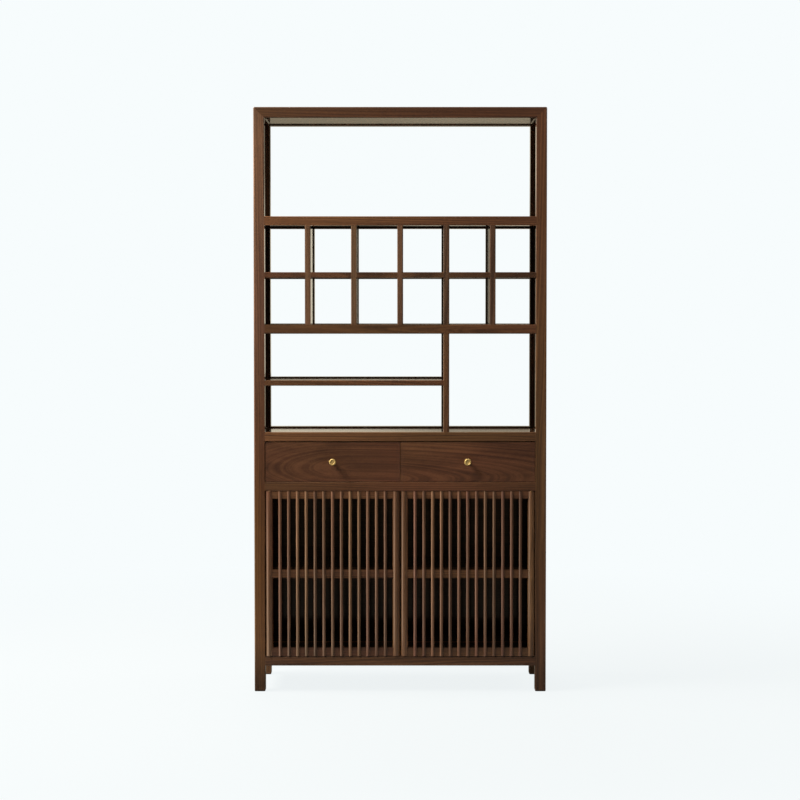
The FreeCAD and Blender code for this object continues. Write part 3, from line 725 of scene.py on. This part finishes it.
panel_low, panel_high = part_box("back_panel")
# Painted shade: the back panel's inner face is darkened to 0.30 of its tone, while its rear face keeps it.
looks["back_panel"] = dict(painted_shading=[("Y", panel_low.y + 0.001, panel_high.y, 0.30, 1.0)])

slat_count = 13
slat_width = 0.011
slats_low, slats_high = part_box("left_door_slats")
slat_step = (slats_high.x - slats_low.x - slat_width) / (slat_count - 1)
# Painted shade: the slats darken low down, and the right door's towards its right edge.
slat_painted_shading = {
    "left": [("Z", 0.35, 0.55, 0.84, 1.0)],
    "right": [("X", 0.05, 0.45, 1.0, 0.64), ("Z", 0.35, 0.55, 0.95, 1.0)],
}
for side, painted_shading in slat_painted_shading.items():
    door = side + "_door_"
    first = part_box(door + "slats")[0].x - (slat_step - slat_width) / 2
    # The slats' and stiles' light tones are partly painted light on their rounded sides.
    looks[door + "slats"] = dict(tone=1.58, rich=0.90, polish=1.80, painted_shading=painted_shading, slats=(first, slat_step))
    # Painted shade: the door rails darken low down.
    looks[door + "rails"] = dict(tone=1.0, painted_shading=[("Z", 0.16, 0.30, 0.72, 1.0)])
    for stile in ("hinge_stile", "meeting_stile"):
        looks[door + stile] = dict(tone=1.42, rich=0.96, polish=1.80)
print("looks for pieces that aren't walnut:", [name for name in looks if name not in walnut_names])
print("looks given to", len(looks), "pieces; the slats stand", round(slat_step * 1000, 2), "mm apart")

# %% [markdown]
# ## Cutting the boards
# Each board is cut from another part of the tree, 3 to 12 cm from the pith and a little out of
# line with it, so that no two look alike. The choice has to be the same in every run. So it
# comes from the far digits of a sine of the piece's number in the list, which look random and
# never change.

# %% Walnut on the pieces
nearest_cut, cut_spread = 0.03, 0.09
tilt_spread = 0.05
darkest_tone, tone_spread = 0.92, 0.16
warmth_spread = 0.006


def own_chance(number, salt):
    """A fixed number from 0 to 1 for each piece, so that every run gives the same boards."""
    return (math.sin(number * 12.9898 + salt * 78.233) * 43758.5453) % 1.0


def cut(number, name):
    """Where a board is cut from the trunk, and its tone and warmth, unless its looks say more."""
    low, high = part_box(name)
    chance = [own_chance(number, salt) for salt in range(6)]
    angle, reach = math.tau * chance[0], nearest_cut + cut_spread * chance[1]
    first, second = math.cos(angle), math.sin(angle)
    aside = {"X": (0.0, first, second), "Y": (first, 0.0, second), "Z": (first, second, 0.0)}
    facts = dict(pith=(low + high) / 2 + Vector(aside[grain_of(name)]) * reach)
    facts.update(tilt=(tilt_spread * (chance[2] - 0.5), tilt_spread * (chance[3] - 0.5)))
    facts.update(tone=darkest_tone + tone_spread * chance[4], warmth=warmth_spread * (chance[5] - 0.5))
    facts.update(looks.get(name, {}))
    return facts


for number, name in enumerate(walnut_names):
    dress(name, walnut("walnut_" + name, grain_of(name), **cut(number, name)))
print(len(walnut_names), "walnut pieces,", len(looks), "of them with looks of their own")

# %% [markdown]
# ## Drawer wood
# The hidden boards of the drawers are a pale, plain wood, as a maker would use where nobody
# looks. It needs less than walnut: a Wave texture gives even rings round the same kind of pith,
# and one noise gives the fibres. At a scale of 1 a Wave texture repeats every 0.31 m, so a
# helper turns the distance that is wanted into a scale.

# %% Drawer wood
pale_early, pale_late = (0.50, 0.36, 0.215, 1.0), (0.335, 0.215, 0.115, 1.0)
pale_ring = 0.005
pale_wander = 0.02
pale_wander_lines = (6.0, 0.8, 2.0, 0.55)
pale_fibre_lines = (500.0, 6.0, 3.0, 0.55)
pale_gloss, pale_fibre_gloss = 0.48, 0.15
pale_relief = 0.0001
pale_tilt = (0.02, 0.03)
wave_at_scale_1 = math.tau / 20.0


def wave_scale(period):
    """The scale at which a Wave texture repeats after so many metres."""
    return wave_at_scale_1 / period


def pale_wood(name, grain, pith):
    """A plain, light drawer wood with soft lines."""
    finish = bpy.data.materials.new(name)
    tree = fresh_tree(finish)
    place = trunk_place(tree, grain, pith, pale_tilt)
    place = bent(tree, place, pale_wander_lines, pale_wander)
    rings = add(tree, "TexWave", {"Vector": place, "Scale": wave_scale(pale_ring)},
                wave_type="RINGS", rings_direction="Z", wave_profile="SAW").outputs["Fac"]
    fibres = grain_noise(tree, place, pale_fibre_lines)["Fac"]
    shade = calculate(tree, "MULTIPLY_ADD", rings, 0.45, calculate(tree, "MULTIPLY", fibres, 0.55))
    colour = blended(tree, shade, pale_early, pale_late)
    gloss = calculate(tree, "MULTIPLY_ADD", fibres, pale_fibre_gloss, pale_gloss)
    bump = add(tree, "Bump", {"Strength": 0.25, "Distance": pale_relief, "Height": fibres})
    settings = {"Base Color": colour, "Roughness": gloss, "Normal": bump.outputs[0]}
    wood = add(tree, "BsdfPrincipled", settings)
    add(tree, "OutputMaterial", {"Surface": wood.outputs[0]})
    return finish


pith_aside = Vector((0.05, 0.04, 0.06))
drawer_names = [name for name in nodes if finish_of[name] == "drawer_wood"]
for name in drawer_names:
    low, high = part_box(name)
    dress(name, pale_wood("pale_" + name, grain_of(name), (low + high) / 2 + pith_aside))
print("pale wood on", len(drawer_names), "pieces")

# %% [markdown]
# ## Brass and steel
# Brass is a mirror tinted yellow, and steel a grey one. Fine turning marks and a cloudy gloss
# keep them from looking like plastic. The marks are rings round the middle of the piece, so
# they come from its own centre. The pivots and their bushes are brass, and the plates that the
# catches hold are steel.

# %% Brass and steel
turning_mark, mark_depth = 0.0004, 0.00003
cloud_scale, cloud_gloss = 160.0, 0.22
cloud_range = (0.35, 0.75)


def metal(name, bright, dull, roughness, centre, shine=1.0):
    """A turned and lightly aged metal. The turning marks are rings round the piece's own centre."""
    finish = bpy.data.materials.new(name)
    tree = fresh_tree(finish)
    moved = place_step(tree, "SUBTRACT", own_place(tree), centre)
    marks = {"Vector": moved, "Scale": wave_scale(turning_mark), "Distortion": 1.5}
    marks = add(tree, "TexWave", marks, wave_type="RINGS", rings_direction="Y").outputs["Fac"]
    cloud = add(tree, "TexNoise", {"Vector": moved, "Scale": cloud_scale, "Detail": 4.0}).outputs["Fac"]
    colour = blended(tree, ranged(tree, cloud, *cloud_range), bright, dull)
    gloss = calculate(tree, "MULTIPLY_ADD", cloud, cloud_gloss, roughness)
    bump = add(tree, "Bump", {"Strength": 0.12, "Distance": mark_depth, "Height": marks})
    skin = add(tree, "BsdfPrincipled", {
        "Base Color": colour, "Metallic": shine, "Roughness": gloss, "Normal": bump.outputs[0],
    })
    add(tree, "OutputMaterial", {"Surface": skin.outputs[0]})
    return finish


brass_looks = ((0.83, 0.60, 0.27, 1.0), (0.62, 0.42, 0.17, 1.0), 0.22)
steel_looks = ((0.62, 0.61, 0.59, 1.0), (0.44, 0.43, 0.41, 1.0), 0.30)
metal_names = [name for name in nodes if finish_of[name] in ("brass", "plate_steel")]
for name in metal_names:
    low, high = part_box(name)
    centre = (low + high) / 2
    if finish_of[name] == "brass":
        dress(name, metal("brass_" + name, *brass_looks, centre))
    else:
        dress(name, metal("steel_" + name, *steel_looks, centre))
print("brass or steel on", len(metal_names), "pieces")

# %% [markdown]
# ## Plastic
# The magnets that hold the doors shut sit in cases of dark moulded plastic. Its mould leaves a
# fine sandy grain, which breaks up both the colour and the gloss, and that is all that a hidden
# piece as plain as this one needs.

# %% Moulded plastic
plastic_dark, plastic_light = (0.020, 0.017, 0.015, 1.0), (0.032, 0.028, 0.025, 1.0)
sand_scale, sand_depth = 900.0, 0.00005
plastic_roughness = 0.5


def moulded_plastic(name):
    """Dark moulded plastic with a fine grain."""
    finish = bpy.data.materials.new(name)
    tree = fresh_tree(finish)
    place = own_place(tree)
    sand = add(tree, "TexNoise", {"Vector": place, "Scale": sand_scale, "Detail": 2.0}).outputs["Fac"]
    colour = blended(tree, sand, plastic_dark, plastic_light)
    bump = add(tree, "Bump", {"Strength": 0.3, "Distance": sand_depth, "Height": sand})
    settings = {"Base Color": colour, "Roughness": plastic_roughness, "Normal": bump.outputs[0]}
    skin = add(tree, "BsdfPrincipled", settings)
    add(tree, "OutputMaterial", {"Surface": skin.outputs[0]})
    return finish


catch_names = [name for name in nodes if finish_of[name] == "catch_plastic"]
for name in catch_names:
    dress(name, moulded_plastic("plastic_" + name))
print("plastic on", catch_names)

# %% [markdown]
# ## The outline of a knob
# A brass knob is turned on a lathe. Its maker thinks of it as one outline: a shallow dish with
# a raised rim, a rounded edge, a slim neck and a small base on the wood. So the outline is
# drawn as a chain of points, each a radius and a depth behind the tip in millimetres. Pairs of
# close points will keep some edges crisp when a subdivision surface rounds the rest. The head
# of the screw that holds the knob from inside the drawer is turned in the same way.

# %% Outlines of the knob and its screw
knob_outline = [
    (0.0, 1.7), (3.6, 1.65), (6.2, 1.45), (6.9, 1.1), (7.3, 0.35), (8.3, 0.0), (9.9, 0.25), (11.3, 1.3),
    (12.0, 3.1), (11.9, 5.0), (10.8, 7.0), (8.6, 8.4), (6.3, 9.2), (5.1, 10.6), (4.7, 12.6), (4.7, 15.6),
    (5.2, 18.0), (6.6, 19.6), (7.6, 20.3), (8.0, 20.9), (8.0, 22.1), (7.8, 22.3), (0.0, 22.3),
]
screw_outline = [
    (0.0, 42.5), (1.7, 42.5), (2.0, 42.5), (2.0, 42.6), (3.7, 42.6), (4.0, 42.8), (4.0, 43.6), (3.4, 44.5),
    (2.0, 44.9), (0.0, 44.9),
]
print("the knob is", 2 * max(radius for radius, depth in knob_outline), "mm wide")

# %% [markdown]
# ## Turning
# Spinning a chain of edges round its axis is the lathe. A full spin merges its first and last
# copy. All copies of a point on the axis fall together, so doubles are merged after it, and the
# faces are then turned to point outwards, because a spin may leave them inside out.

# %% Turning and finishing
def turned(shape, outline, centre, tip_y, steps):
    """Spins an outline of radius and depth, in millimetres, round a line from front to back."""
    points = []
    for radius, depth in outline:
        points.append(shape.verts.new((centre.x + radius / 1000, tip_y + depth / 1000, centre.z)))
    lines = [shape.edges.new(pair) for pair in zip(points, points[1:])]
    bmesh.ops.spin(shape, geom=points + lines, cent=(centre.x, tip_y, centre.z), axis=(0.0, 1.0, 0.0),
                   angle=math.tau, steps=steps, use_merge=True)


def finished(name, shape, finish, levels):
    """Turns a bmesh into an object with smooth faces that point outwards, and rounds it."""
    bmesh.ops.remove_doubles(shape, verts=shape.verts, dist=0.000001)
    bmesh.ops.recalc_face_normals(shape, faces=shape.faces)
    for face in shape.faces:
        face.smooth = True
    mesh = bpy.data.meshes.new(name)
    shape.to_mesh(mesh)
    shape.free()
    mesh.materials.append(finish)
    made = bpy.data.objects.new(name, mesh)
    scene.collection.objects.link(made)
    rounding = made.modifiers.new("rounding", "SUBSURF")
    rounding.levels = rounding.render_levels = levels
    return made


print("outlines of", len(knob_outline), "and", len(screw_outline), "points are ready to be spun")

# %% [markdown]
# ## The knobs
# Each new knob takes the place of a plain one from the model and rides with its drawer. In the
# photograph the knobs are softer and deeper in colour than new brass,
# as brushed brass under a lacquer is, so their finish is rougher and only partly a mirror.

# %% Turned knobs
knob_bright, knob_dull = (0.50, 0.345, 0.115, 1.0), (0.57, 0.405, 0.155, 1.0)
knob_roughness = 0.50
knob_shine = 0.60
knob_steps, screw_steps = 20, 12
rounding_levels = 2

for side in ("left", "right"):
    node = side + "_drawer_knob"
    low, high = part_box(node)
    centre = (low + high) / 2
    shape = bmesh.new()
    turned(shape, knob_outline, centre, low.y, knob_steps)
    turned(shape, screw_outline, centre, low.y, screw_steps)
    brushed = metal("turned_brass_" + side, knob_bright, knob_dull, knob_roughness, centre, knob_shine)
    knob = finished(side + "_turned_knob", shape, brushed, rounding_levels)
    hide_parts(node)
    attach(knob, side + "_drawer")
    print(node, "spans", round((high - low).y * 1000, 1), "mm from front to back; the new knob has",
          len(knob.data.polygons), "faces")
